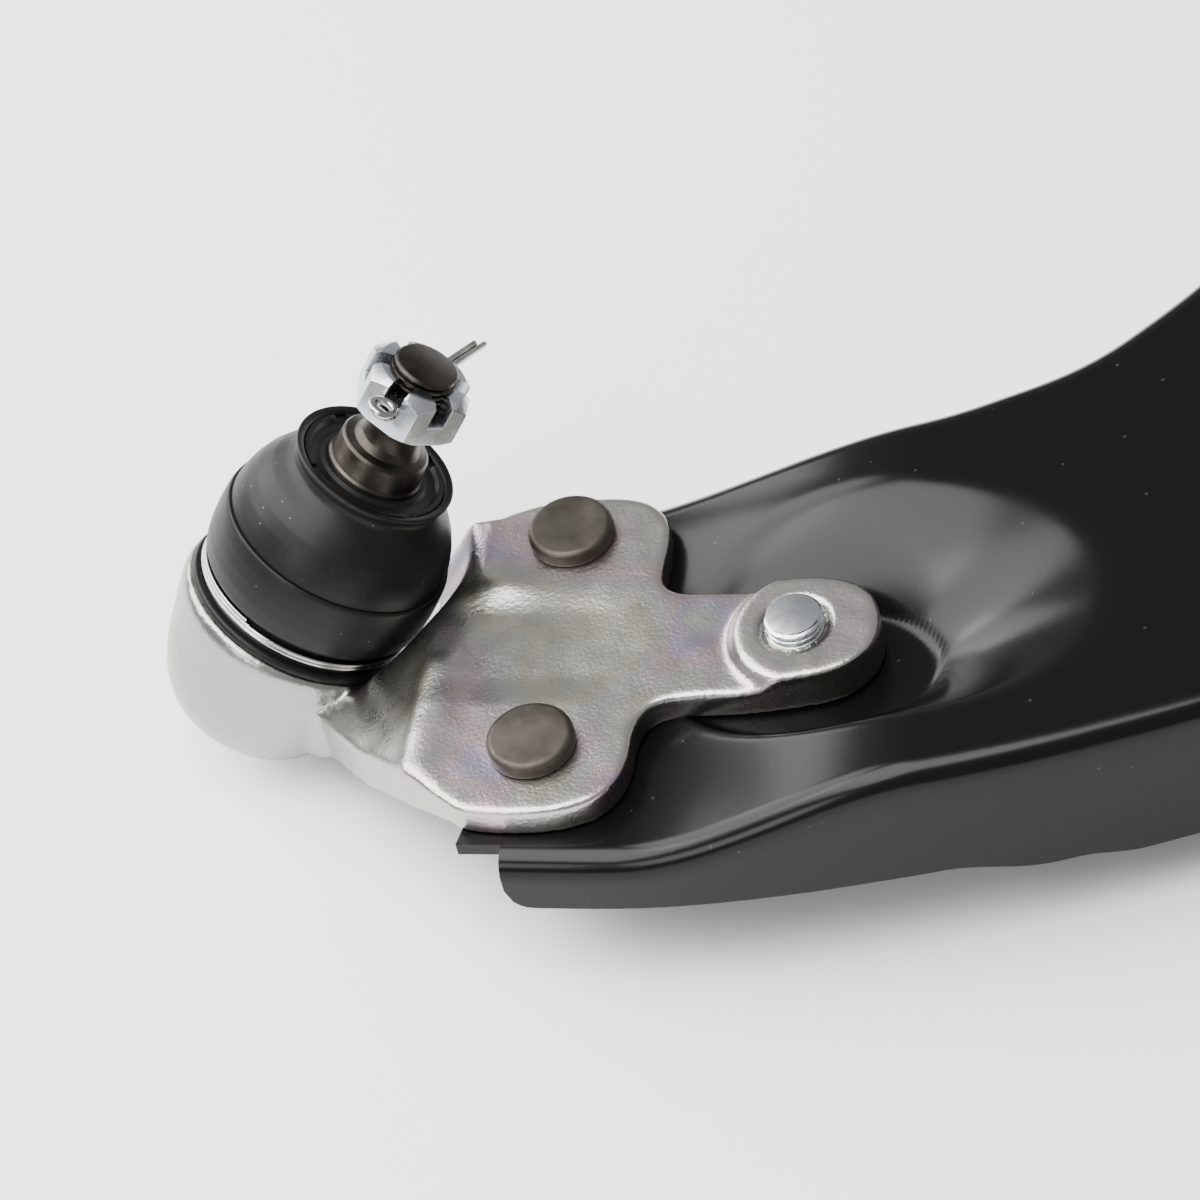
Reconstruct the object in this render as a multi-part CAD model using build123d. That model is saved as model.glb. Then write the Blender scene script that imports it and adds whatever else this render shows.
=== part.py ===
"""Lower control arm of a front suspension, for one side of a car.

A pressed-steel arm carries a forged ball-joint bracket at its outboard end and
two rubber bushes at its inboard end. The bracket is held by two rivets and a
bolt. The ball stud leans inboard and carries a castle nut and a cotter pin.

Millimetres. +X is inboard, +Y runs along the pivot axis from the front bush
to the rear one, and +Z is up. The origin is the centre of the front bush.
"""

from build123d import *
import math
import os

os.makedirs("parts", exist_ok=True)

# ---------------------------------------------------------------- driving sizes
# Places of the main centres
BALL = (-339.7, 66.0, -11.6)       # centre of the ball
STUD_LEAN = 36.0                   # degrees that the stud leans inboard
BRACKET_AT = (-290.0, 30.0, 0.0)   # the bracket's own origin
BRACKET_TURN = -20.0               # degrees that the bracket's tail points forward
REAR_BUSH = (0.0, 290.0, 2.0)      # centre of the rear bush

# Arm pressing
SHEET = 3.0                        # wall of the pressing
PAD_Z = 0.0                        # top of the pad that the bracket sits on
ARM_TOP_Z = 15.5                   # top of the pressing inboard of its ramp
FLANGE_END_Z = -20.0               # lower edge of the turned-down flange
FLANGE_LIP_Z = -13.5               # the same at the outboard end
RAIL_START = 25.0                  # where the rails start to rise, from the rivet line
RAIL_LONG = 62.0
TONGUE_LONG = 27.5                 # the flat pad's end beyond the bolt
TONGUE_WIDE = 20.5
DISH_NEAR = 14.0                   # width of the slope around the flat pad
DISH_FAR = 30.0
DISH_AHEAD = 42.0
LOWER_PLATE = 2.5                  # wall of the closing plate
LOWER_PLATE_Z = -13.5              # its lower face
LOWER_PLATE_START_X = -212.0

# Ball joint, as heights above the ball centre along the stud's axis
BALL_R = 13.0
BALL_GAP = 0.05
NECK_R = 7.5                       # stud's neck above the ball
SHOULDER_H = 13.5                  # shoulder that the boot stands on
HOUSING_R = 25.7                   # at its shoulder
SPIGOT_H = 16.5                    # top of the collar inside the boot
SPIGOT_R = 20.0
MOUTH_R = 17.2
BORE_R = 16.5
RACE_TOP_H = 5.2
CAP_TOP_H = -13.4
CAP_THICK = 2.1
HOUSING_END_H = -17.0
BOOT_WALL = 2.2
RIDGE_H = 34.2
RIDGE_R = 24.7
BOOT_NECK_H = 50.0
BOOT_NECK_R = 16.4
BOOT_LIP_H = 53.7
BOOT_LIP_R = 17.4
TOP_RING_R = 15.4
COLLAR_R = 10.4                    # where the boot's top seals on the stud
TAPER_LOW_H = 54.0
TAPER_TOP_H = 59.4
TAPER_TOP_R = 9.5
RELIEF_R = 6.0
THREAD_R = 7.0                     # M14
THREAD_LOW_H = 66.0
STUD_TOP_H = 81.0
NUT_LOW_H = 68.5
NUT_CORNER_H = 77.3
NUT_TOP_H = 79.0
NUT_FLATS = 21.0
NUT_TURN = 16.0                    # degrees that the nut and pin are turned
SLOT_LOW_H = 72.9
SLOT_WIDE = 4.0
PIN_H = 75.4
PIN_R = 1.5
PIN_REACH = 27.0
PIN_EYE_AT = 13.7
PIN_ANGLE = 226.0                  # degrees, the way that the pin's eye points

# Bracket
PLATE_THICK = 7.0
BOSS_Z = 10.0                      # top of the tapped boss on the tail
RIVET_X = 7.2
RIVET_Y = 28.8
RIVET_R = 5.0
RIVET_HEAD_R = 9.0
RIVET_HEAD_HIGH = 3.8
RIVET_TAIL_HIGH = 3.0
BOLT_X = 57.8
BOLT_R = 6.0                       # M12
BOLT_TIP_Z = 12.8
BOLT_HEAD_HIGH = 7.0
BOLT_FLATS = 18.0

# Bushes: outer radius, inner radius, length
FRONT_TUBE = (24.0, 21.0, 50.0)
FRONT_CAN = (21.0, 19.4, 46.0)
FRONT_SLEEVE = (10.5, 6.2, 62.0)
REAR_TUBE = (33.0, 30.0, 46.0)
REAR_CAN = (30.0, 28.2, 42.0)
REAR_SLEEVE = (13.0, 7.2, 60.0)
SLEEVE_GAP = 0.05

# ---------------------------------------------------------------- frames
lean = math.radians(STUD_LEAN)
stud_dir = (math.sin(lean), 0, math.cos(lean))
cross_dir = (math.cos(lean), 0, -math.sin(lean))
stud_frame = Location(Plane(origin=BALL, x_dir=cross_dir, z_dir=stud_dir))
bracket_frame = Location(BRACKET_AT, (0, 0, BRACKET_TURN))
front_frame = Location((0, 0, 0), (90, 0, 0))
rear_frame = Location(REAR_BUSH)


def disc(radius, low, high):
    """A plain cylinder on the Z axis."""
    return Pos(0, 0, low) * Cylinder(radius, high - low, align=(Align.CENTER, Align.CENTER, Align.MIN))


def ring(outer, inner, low, high):
    """A plain tube on the Z axis."""
    return disc(outer, low, high) - disc(inner, low, high)


def turned(points):
    """Revolves a closed outline of (radius, height) points about the Z axis."""
    outline = Polyline(*[(r, 0, h) for r, h in points], close=True)
    return revolve(make_face(outline), Axis.Z)


def prism(face, low, high):
    """Extrudes a flat face from one height to another."""
    return extrude(Pos(0, 0, low) * face, amount=high - low)


def side_prism(points, y_low, y_high):
    """Extrudes a closed outline of (x, z) points from one Y to another."""
    outline = Polyline(*[(x, y_low, z) for x, z in points], close=True)
    return extrude(make_face(outline), amount=y_high - y_low, dir=(0, 1, 0))


def save(shape, node):
    """Writes one node's solids as a STEP file."""
    solids = list(shape.solids())
    print(f"{node:20s} solids {len(solids)}  valid {all(s.is_valid for s in solids)}")
    export_step(Compound(children=solids), f"parts/{node}.step")


# ---------------------------------------------------------------- arm pressing
def side_curve(points, tangents, inset):
    """A spline through points, or the same curve moved to its left by the inset."""
    curve = Spline(*points, tangents=tangents)
    if not inset:
        return curve
    moved = []
    for i in range(15):
        along = curve % (i / 14)
        moved.append(curve @ (i / 14) + Vector(-along.Y, along.X) * inset)
    return Spline(*moved)


def arm_outline(inset=0.0):
    """The pressing's outline from above, at the outside of its flange or inset from it."""
    front = side_curve(
        [(-315.0, -17.6), (-276.0, -32.5), (-234.0, -41.5), (-190.0, -46.0), (-140.0, -45.0), (-80.0, -33.0),
         (-8.0, -21.0)], [(0.94, -0.34), (1, 0.1)], inset)
    inboard = side_curve(
        [(-8.0, 21.0), (-10.0, 90.0), (-2.0, 180.0), (14.0, 272.0)], [(0.0, 1), (0.2, 1)], inset)
    rear = side_curve(
        [(-22.0, 280.0), (-46.0, 210.0), (-75.0, 140.0), (-112.0, 86.0), (-152.0, 59.5), (-182.0, 53.0),
         (-212.0, 54.5), (-268.0, 66.0)], [(-0.25, -1), (-0.94, 0.34)], inset)
    ends = [Line(front @ 1, inboard @ 0), Line(inboard @ 1, rear @ 0), Line(rear @ 1, front @ 0)]
    return make_face(Curve() + [front, ends[0], inboard, ends[1], rear, ends[2]])


def above_rails(drop):
    """The space above the rails, which rise from the pad towards the bushes."""
    low, high = PAD_Z - drop, ARM_TOP_Z - drop
    rise = Spline((RAIL_START, -90, low), (RAIL_START + RAIL_LONG, -90, high), tangents=[(1, 0, 0), (1, 0, 0)])
    far = RAIL_START + RAIL_LONG + 300
    rest = Polyline((RAIL_START + RAIL_LONG, -90, high), (far, -90, high), (far, -90, 60), (-90, -90, 60),
                    (-90, -90, low), (RAIL_START, -90, low))
    wide = extrude(make_face(Curve() + [rise, rest]), amount=500, dir=(0, 1, 0))
    return bracket_frame * wide


def dish(drop, grow):
    """The scoop round the bracket's tail, long ahead of it and short at its sides."""
    low = Pos(BOLT_X, -1, PAD_Z - drop) * Ellipse(TONGUE_LONG + grow, TONGUE_WIDE + grow)
    wide = TONGUE_WIDE + (DISH_NEAR + DISH_FAR) / 2 + grow
    shift = (DISH_FAR - DISH_NEAR) / 2 - 1
    high = Pos(BOLT_X, shift, ARM_TOP_Z - drop + 0.5) * Ellipse(TONGUE_LONG + DISH_AHEAD + grow, wide)
    return bracket_frame * loft([low, high])


def bush_space():
    return front_frame * disc(FRONT_TUBE[0], -60, 60) + rear_frame * disc(REAR_TUBE[0], -60, 60)


def arm_shell():
    """Pressed pan, open below: top skin, side flanges and the pad for the bracket."""
    inside = arm_outline(SHEET)
    skin = prism(arm_outline(), FLANGE_END_Z, ARM_TOP_Z) - above_rails(0) - dish(0, 0)
    hollow = prism(inside, FLANGE_END_Z - 1, ARM_TOP_Z - SHEET) - above_rails(SHEET) - dish(SHEET, 1.5)
    hollow += bracket_frame * Pos(-20, 0, PAD_Z - SHEET - 10) * Box(44, 110, 20)
    lip = side_prism([(-330, FLANGE_LIP_Z), (-215, FLANGE_LIP_Z), (-185, FLANGE_END_Z), (-180, FLANGE_END_Z - 5),
                      (-330, FLANGE_END_Z - 5)], -90, 120)
    shell = skin - hollow - lip - bush_space()
    shell -= bracket_frame * prism(plate_outline(), PAD_Z, PAD_Z + 5)
    for y in (-RIVET_Y, RIVET_Y):
        shell -= bracket_frame * Pos(RIVET_X, y, 0) * (disc(RIVET_R, -10, 10) + disc(9.5, -10, PAD_Z - SHEET))
    shell -= bracket_frame * Pos(BOLT_X, 0, 0) * (disc(BOLT_R + 0.5, -10, 10) + disc(13.5, -10, PAD_Z - SHEET))
    return shell


def arm_lower_plate():
    """Flat closing plate welded between the flanges, with two lightening holes."""
    inside = arm_outline(SHEET)
    low = LOWER_PLATE_Z
    plate = prism(inside, low, low + LOWER_PLATE)
    plate -= bush_space()
    plate -= Pos(LOWER_PLATE_START_X - 100, 0, low) * Box(200, 300, 20)
    plate -= Pos(-120, 5, 0) * disc(16, low - 5, low + 5)
    plate -= Pos(-52, 78, 0) * disc(14, low - 5, low + 5)
    return plate


# ---------------------------------------------------------------- bracket
def plate_outline():
    """The forged plate from above: two riveted wings and a rounded tail."""
    edge = Spline(
        (-17.1, 32.2), (-9, 35.6), (-0.9, 38.7), (7.5, 40.1), (16.1, 40.0), (21.6, 38.6), (25.2, 35.8),
        (27.5, 31.2), (28.0, 26.9), (27.7, 19.8), (28.8, 14.4), (31.4, 12.7), (36.0, 12.2), (44.9, 12.2),
        (57.3, 13.1), (65.5, 12.6), (70.3, 10.4), (73.6, 6.4), (74.9, 1.5), (74.6, -3.9), (72.2, -8.4),
        (67.2, -12.3), (60.3, -14.2), (48.3, -15.9), (36.0, -16.5), (30.2, -18.3), (27.6, -22.5),
        (27.1, -30.0), (26.0, -36.5), (21.8, -42.4), (13.6, -45.6), (4.0, -46.2), (-5.0, -45.2),
    )
    return make_face(Curve() + [edge, Polyline((-5.0, -45.2), (-19.0, -34.5), (-19.0, 32.2), (-17.1, 32.2))])


def neck():
    """Solid web that drops from the plate down to the side of the housing."""
    plan = make_face(Polyline(
        (-6.0, -45.0), (-20.0, -34.0), (-33.0, -21.0), (-45.0, -6.0), (-60.0, 2.0), (-60.0, 30.0), (-48.0, 34.0),
        (-30.0, 32.0), (-6.0, 36.0), close=True))
    web = side_prism(
        [(-6, PLATE_THICK), (-19, PLATE_THICK - 0.4), (-31, -1), (-44, -8), (-60, -12), (-60, -25),
         (-48, -24), (-34, -14.5), (-21, -6), (-8, 0), (-6, 0)], -60, 60)
    return bracket_frame * (web & prism(plan, -60, 30))


def bracket():
    housing = turned([
        (0, HOUSING_END_H), (17.0, HOUSING_END_H), (18.6, -14.8), (20.5, -11.6), (22.3, -6.5), (23.4, -2.0),
        (24.4, 4.0), (24.9, 5.6), (HOUSING_R, 10.6), (HOUSING_R - 0.3, SHOULDER_H - 0.6),
        (HOUSING_R - 0.9, SHOULDER_H), (0, SHOULDER_H)])
    spigot = disc(SPIGOT_R, SHOULDER_H - 1, SPIGOT_H)
    cavity = turned([
        (0, HOUSING_END_H - 1), (14.2, HOUSING_END_H - 1), (14.2, CAP_TOP_H - CAP_THICK),
        (BORE_R, CAP_TOP_H - CAP_THICK), (BORE_R, RACE_TOP_H), (12.4, RACE_TOP_H + 0.4),
        (MOUTH_R, SPIGOT_H), (MOUTH_R, SPIGOT_H + 1), (0, SPIGOT_H + 1)])
    boot_space = ring(HOUSING_R + 1.2, SPIGOT_R, SHOULDER_H, 60)
    plate = prism(plate_outline(), 0, PLATE_THICK)
    boss = Pos(BOLT_X + 2.5, -0.5, 0) * turned([(0, 0), (16.9, 0), (16.9, PLATE_THICK), (14.7, BOSS_Z), (0, BOSS_Z)])
    boss &= prism(plate_outline(), -1, BOSS_Z + 1)
    body = stud_frame * (housing + spigot) + bracket_frame * (plate + boss) + neck()
    body -= stud_frame * (cavity + boot_space)
    for y in (-RIVET_Y, RIVET_Y):
        body -= bracket_frame * Pos(RIVET_X, y, 0) * disc(RIVET_R, -10, 20)
    body -= bracket_frame * Pos(BOLT_X, 0, 0) * disc(BOLT_R, -10, 20)
    return body


def rivet(y):
    """Cold-formed rivet with a flat head above and a low head below."""
    top = PLATE_THICK + RIVET_HEAD_HIGH
    bottom = -SHEET
    return bracket_frame * Pos(RIVET_X, y, 0) * turned([
        (0, bottom - RIVET_TAIL_HIGH), (6.8, bottom - RIVET_TAIL_HIGH), (8.2, bottom - 1.2), (8.2, bottom),
        (RIVET_R, bottom), (RIVET_R, PLATE_THICK), (RIVET_HEAD_R, PLATE_THICK),
        (RIVET_HEAD_R, top - 0.8), (RIVET_HEAD_R - 0.8, top), (0, top)])


def bracket_bolt():
    """Flanged bolt that comes up through the pad into the tapped boss."""
    base = -SHEET
    shank = turned([(0, base - 1), (BOLT_R, base - 1), (BOLT_R, BOLT_TIP_Z - 1.1), (BOLT_R - 1.1, BOLT_TIP_Z),
                    (0, BOLT_TIP_Z)])
    flange = turned([(0, base - 2.6), (9.6, base - 2.6), (11.6, base - 1.2), (11.6, base), (0, base)])
    head = extrude(Pos(0, 0, base - BOLT_HEAD_HIGH) * RegularPolygon(BOLT_FLATS / 2, 6, major_radius=False),
                   amount=BOLT_HEAD_HIGH - 1)
    return bracket_frame * Pos(BOLT_X, 0, 0) * (shank + flange + head)


# ---------------------------------------------------------------- ball joint
def ball_race():
    shell = disc(BORE_R, CAP_TOP_H, RACE_TOP_H)
    return stud_frame * (shell - Sphere(BALL_R + BALL_GAP) - disc(7.0, CAP_TOP_H - 1, 0))


def housing_cap():
    return stud_frame * turned([
        (0, CAP_TOP_H - CAP_THICK - 0.9), (9, CAP_TOP_H - CAP_THICK - 0.9), (11, CAP_TOP_H - CAP_THICK),
        (BORE_R, CAP_TOP_H - CAP_THICK), (BORE_R, CAP_TOP_H), (0, CAP_TOP_H)])


def ball_stud():
    body = turned([
        (0, -9.5), (NECK_R, -9.5), (NECK_R, 38), (COLLAR_R, 45), (COLLAR_R, TAPER_LOW_H),
        (TAPER_TOP_R + (TAPER_TOP_H - TAPER_LOW_H) / 16, TAPER_LOW_H), (TAPER_TOP_R, TAPER_TOP_H - 0.5),
        (TAPER_TOP_R - 0.5, TAPER_TOP_H), (7.4, TAPER_TOP_H + 0.5), (RELIEF_R, TAPER_TOP_H + 2.2),
        (RELIEF_R, THREAD_LOW_H), (THREAD_R, THREAD_LOW_H + 1), (THREAD_R, STUD_TOP_H - 0.9),
        (THREAD_R - 0.9, STUD_TOP_H), (0, STUD_TOP_H)])
    ball = Sphere(BALL_R) - disc(BALL_R, -20, -9.5)
    body += ball
    body -= Rot(0, 0, PIN_ANGLE) * Pos(0, 0, PIN_H) * Rot(0, 90, 0) * disc(PIN_R + 0.3, -20, 20)
    return stud_frame * body


def castle_nut():
    corner = NUT_FLATS / math.sqrt(3)
    hexagon = RegularPolygon(NUT_FLATS / 2, 6, major_radius=False, rotation=0)
    nut = prism(hexagon, NUT_LOW_H, NUT_TOP_H)
    nut &= turned([(0, NUT_LOW_H), (corner - 1.2, NUT_LOW_H), (corner, NUT_LOW_H + 0.8), (corner, NUT_CORNER_H - 0.6),
                   (corner - 2.6, NUT_TOP_H), (0, NUT_TOP_H)])
    nut -= disc(THREAD_R, NUT_LOW_H - 1, NUT_TOP_H + 1)
    for k in range(6):
        slot = Pos(10, 0, SLOT_LOW_H + 10) * Box(20, SLOT_WIDE, 20)
        nut -= Rot(0, 0, 60 * k + 30) * slot
    return stud_frame * Rot(0, 0, NUT_TURN) * nut


def cotter_pin():
    """Split pin: eye on one side of the nut, two straight legs on the other."""
    legs = disc(PIN_R, -PIN_REACH, 11.4) - Pos(0, 0, -18) * Box(8, 0.24, 40)
    eye = Pos(0, 0, PIN_EYE_AT) * Rot(0, 90, 0) * Torus(2.5, 1.0)
    return stud_frame * Pos(0, 0, PIN_H) * Rot(0, 0, PIN_ANGLE) * Rot(0, 90, 0) * (legs + eye)


def boot():
    """Rubber boot: bead on the housing, skirt, ridge, domed crown and flared lip."""
    low = SHOULDER_H
    return stud_frame * turned([
        (SPIGOT_R, low), (24.6, low), (24.6, low + 1.5), (22.6, low + 1.9), (22.6, low + 4.6),
        (24.3, low + 6.0), (25.0, low + 11.0), (25.1, RIDGE_H - 3), (RIDGE_R, RIDGE_H), (23.9, RIDGE_H + 0.4),
        (23.2, 39.0), (21.6, 43.5), (19.2, 47.3), (BOOT_NECK_R, BOOT_NECK_H), (16.6, 51.8),
        (BOOT_LIP_R, BOOT_LIP_H), (TOP_RING_R, BOOT_LIP_H), (TOP_RING_R, 50.6), (COLLAR_R + 0.1, 50.6),
        (COLLAR_R + 0.1, 48.4), (14.6, 48.0), (17.6, 45.6), (19.7, 42.3), (21.1, 38.4), (21.8, 34.0),
        (22.5, 30.0), (22.4, 23.0), (SPIGOT_R, 19.5)])


def boot_wire_ring():
    """Two turns of spring wire in the groove above the boot's bead."""
    wire = 0.75
    turns = Pos(0, 0, SHOULDER_H + 2.7) * Torus(22.6 + wire, wire)
    turns += Pos(0, 0, SHOULDER_H + 2.7 + 1.4) * Torus(22.6 + wire, wire)
    return stud_frame * turns


def boot_top_ring():
    """Retaining ring in the boot's lip, with four small notches."""
    body = turned([
        (COLLAR_R + 0.05, 50.6), (TOP_RING_R, 50.6), (TOP_RING_R, 53.2), (TOP_RING_R - 1.0, 53.2),
        (TOP_RING_R - 1.6, 52.4), (COLLAR_R + 1.6, 52.4), (COLLAR_R + 0.9, 53.0), (COLLAR_R + 0.05, 53.0)])
    for k in range(4):
        body -= Rot(0, 0, 90 * k + 20) * Pos(TOP_RING_R, 0, 53.2) * Box(3.2, 3.0, 1.4)
    return stud_frame * body


# ---------------------------------------------------------------- bushes
def tube(frame, size):
    return frame * ring(size[0], size[1], -size[2] / 2, size[2] / 2)


def front_bush_rubber():
    half = FRONT_CAN[2] / 2
    lip = half + 5.5
    inner = FRONT_SLEEVE[0] + SLEEVE_GAP
    return front_frame * turned([
        (inner, -lip), (17.0, -lip), (20.6, -lip + 1.6), (20.6, -half - 2.2), (FRONT_CAN[1], -half),
        (FRONT_CAN[1], half), (20.6, half + 2.2), (20.6, lip - 1.6), (17.0, lip), (inner, lip)])


def rear_bush_rubber():
    half = REAR_CAN[2] / 2
    body = turned([
        (REAR_SLEEVE[0], -half - 4), (17.0, -half - 4), (21.0, -half + 4), (24.5, -half + 5), (REAR_CAN[1], -half),
        (REAR_CAN[1], half), (24.5, half - 5), (21.0, half - 4), (17.0, half + 4), (REAR_SLEEVE[0], half + 4)])
    for x in (-1, 1):
        slot = extrude(Pos(0, 0, -40) * make_face(Curve() + [
            ThreePointArc((18, -9), (20.4, 0), (18, 9)), Line((18, 9), (22.8, 11)),
            ThreePointArc((22.8, 11), (25.4, 0), (22.8, -11)), Line((22.8, -11), (18, -9))]), amount=80)
        body -= (Rot(0, 0, 0) if x > 0 else Rot(0, 0, 180)) * slot
    return rear_frame * body


save(arm_shell(), "arm_shell")
save(arm_lower_plate(), "arm_lower_plate")
save(bracket(), "ball_joint_bracket")
save(rivet(-RIVET_Y), "rivet_front")
save(rivet(RIVET_Y), "rivet_rear")
save(bracket_bolt(), "bracket_bolt")
save(ball_race(), "ball_race")
save(housing_cap(), "housing_cap")
save(ball_stud(), "ball_stud")
save(castle_nut(), "castle_nut")
save(cotter_pin(), "cotter_pin")
save(boot(), "boot")
save(boot_wire_ring(), "boot_wire_ring")
save(boot_top_ring(), "boot_top_ring")
save(tube(front_frame, FRONT_TUBE), "front_bush_tube")
save(tube(front_frame, FRONT_CAN), "front_bush_can")
save(tube(front_frame, FRONT_SLEEVE), "front_bush_sleeve")
save(front_bush_rubber(), "front_bush_rubber")
save(tube(rear_frame, REAR_TUBE), "rear_bush_tube")
save(tube(rear_frame, REAR_CAN), "rear_bush_can")
save(tube(rear_frame, REAR_SLEEVE), "rear_bush_sleeve")
save(rear_bush_rubber(), "rear_bush_rubber")
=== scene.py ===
# %% [markdown]
# # A front lower control arm
# The real object is a pressed-steel arm that ties a car's wheel to its body. At the wheel end a
# forged bracket holds a ball joint under a rubber boot; at the body end two rubber bushes let the
# arm swing. The solid model already gives every part its true size, so it is loaded first as a
# fixed frame, and this lesson dresses it: thin steel, rubber, threads and platings.

# %% Load the fixed frame
import bmesh
import bpy
import math
from mathutils import Matrix, Vector, noise


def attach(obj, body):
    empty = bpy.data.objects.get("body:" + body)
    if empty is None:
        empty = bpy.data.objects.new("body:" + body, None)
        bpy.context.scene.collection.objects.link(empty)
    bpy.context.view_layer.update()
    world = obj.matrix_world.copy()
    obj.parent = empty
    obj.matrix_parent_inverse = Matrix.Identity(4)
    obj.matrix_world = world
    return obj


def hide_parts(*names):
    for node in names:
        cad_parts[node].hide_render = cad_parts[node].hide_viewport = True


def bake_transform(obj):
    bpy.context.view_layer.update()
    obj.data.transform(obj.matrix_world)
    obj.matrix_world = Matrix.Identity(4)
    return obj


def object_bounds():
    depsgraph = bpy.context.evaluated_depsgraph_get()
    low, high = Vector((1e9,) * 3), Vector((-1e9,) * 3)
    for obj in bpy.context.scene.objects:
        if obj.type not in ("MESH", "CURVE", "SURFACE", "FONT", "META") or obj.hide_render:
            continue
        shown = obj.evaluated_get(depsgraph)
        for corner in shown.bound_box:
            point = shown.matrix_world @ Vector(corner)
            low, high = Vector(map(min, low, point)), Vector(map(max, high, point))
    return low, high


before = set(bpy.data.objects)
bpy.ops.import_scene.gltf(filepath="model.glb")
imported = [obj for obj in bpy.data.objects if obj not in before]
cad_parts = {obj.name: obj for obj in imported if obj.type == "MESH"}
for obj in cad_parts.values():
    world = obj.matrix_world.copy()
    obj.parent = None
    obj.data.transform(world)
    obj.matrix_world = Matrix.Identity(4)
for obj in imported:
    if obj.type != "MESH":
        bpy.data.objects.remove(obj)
cad_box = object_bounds()
MM = 0.001

# %% [markdown]
# Three axes place everything: the row's own, the ball stud's, which leans 36 degrees inboard, and
# the bracket's, turned 20 degrees so that its tail points along the arm. A matrix for each lets a
# piece be shaped upright in millimetres and then be put where it belongs. The bolt and the rivets
# have their places in the bracket's axes.

# %% Places
LEAN = math.radians(36.0)
BALL = Vector((-339.7, 66.0, -11.6))
STUD = Matrix.Translation(BALL * MM) @ Matrix.Rotation(LEAN, 4, "Y") @ Matrix.Scale(MM, 4)
BRACKET = Matrix.Translation(Vector((-290.0, 30.0, 0.0)) * MM) @ Matrix.Rotation(
    math.radians(-20.0), 4, "Z") @ Matrix.Scale(MM, 4)
ROW = Matrix.Scale(MM, 4)
FRONT_BUSH = Matrix.Rotation(math.radians(90.0), 4, "X") @ Matrix.Scale(MM, 4)
REAR_BUSH = Matrix.Translation(Vector((0.0, 290.0, 2.0)) * MM) @ Matrix.Scale(MM, 4)
BOLT_ALONG = 57.8  # along the bracket's tail, from its origin
RIVET_ALONG, RIVET_ACROSS = 7.2, 28.8
print("ball at", [round(c, 1) for c in BALL], "mm, leaning", round(math.degrees(LEAN)), "degrees")


# %% [markdown]
# ## Colours and nodes
# Paint charts give colours as hex sRGB, while the renderer works in linear light, so one function
# turns one into the other. A second one adds any node with its settings and links.

# %% Helpers for materials
def linear(code, alpha=1.0):
    """A hex sRGB colour as linear RGBA."""
    channels = [int(code[i:i + 2], 16) / 255 for i in (0, 2, 4)]
    return [c / 12.92 if c <= 0.04045 else ((c + 0.055) / 1.055) ** 2.4 for c in channels] + [alpha]


def add(tree, kind, links=(), stops=(), **settings):
    """Adds a node: settings are its properties or inputs, links are (input, output socket) pairs and
    stops are a colour ramp's (position, hex colour) pairs in rising order."""
    node = tree.nodes.new(kind)
    for at, (position, code) in enumerate(stops):
        elements = node.color_ramp.elements
        element = elements[at] if at < len(elements) else elements.new(position)
        element.position, element.color = position, linear(code)
    for key, value in settings.items():
        if hasattr(node, key):
            setattr(node, key, value)
        else:
            node.inputs[key.replace("_", " ")].default_value = value
    for name, output in links:
        tree.links.new(output, node.inputs[name])
    return node


def new_material(name):
    """An empty material with its shader, its tree and Object coordinates in metres."""
    material = bpy.data.materials.new(name)
    material.use_nodes = True
    tree = material.node_tree
    place = add(tree, "ShaderNodeTexCoord").outputs["Object"]
    return material, tree, tree.nodes["Principled BSDF"], place


# %% [markdown]
# ## Dip paint
# The arm is stamped steel, electro-coated black. The bath leaves a smooth, slightly soft gloss:
# a dark body, sharp enough reflections to show the pressing's dish, a faint orange peel of about
# two millimetres, and a few specks of dust. The specular level is low, so that the paint stays
# black beside the bright patches that the lamps leave on it.

# %% Black dip paint
def dip_paint():
    material, tree, shader, place = new_material("black_dip_paint")
    peel = add(tree, "ShaderNodeTexNoise", [("Vector", place)], Scale=420.0, Detail=2.0)
    haze = add(tree, "ShaderNodeTexNoise", [("Vector", place)], Scale=26.0, Detail=4.0)
    dust = add(tree, "ShaderNodeTexVoronoi", [("Vector", place)], Scale=150.0)
    speck = add(tree, "ShaderNodeValToRGB", [("Fac", dust.outputs["Distance"])],
                stops=[(0.0, "FFFFFF"), (0.045, "FFFFFF"), (0.06, "000000")])
    colour = add(tree, "ShaderNodeMix", [("Factor", speck.outputs["Color"])], data_type="RGBA",
                 A=linear("070708"), B=linear("2A2A2B"))
    tree.links.new(colour.outputs["Result"], shader.inputs["Base Color"])
    rough = add(tree, "ShaderNodeMapRange", [("Value", haze.outputs["Fac"])], To_Min=0.17, To_Max=0.24)
    tree.links.new(rough.outputs["Result"], shader.inputs["Roughness"])
    bump = add(tree, "ShaderNodeBump", [("Height", peel.outputs["Fac"])], Strength=0.06, Distance=0.0002)
    tree.links.new(bump.outputs["Normal"], shader.inputs["Normal"])
    shader.inputs["Specular IOR Level"].default_value = 0.2
    return material


# %% [markdown]
# ## Zinc on a forging
# The bracket is hot forged, shot blasted and zinc plated with a thin clear passivation. The blasted
# skin is pebbled at about half a millimetre, drawn at 0.8 mm here because finer grain would not
# show. The plate is pale grey and half shiny, and the passivation tints it faintly pink, violet and
# straw where it lies thicker. Outboard of the plate, on the housing, the tint fades to plain grey.

# %% Plated forging
HOUSING_SIDE, PLATE_SIDE = -0.330, -0.310  # the tint fades between these X places, in metres


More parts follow.
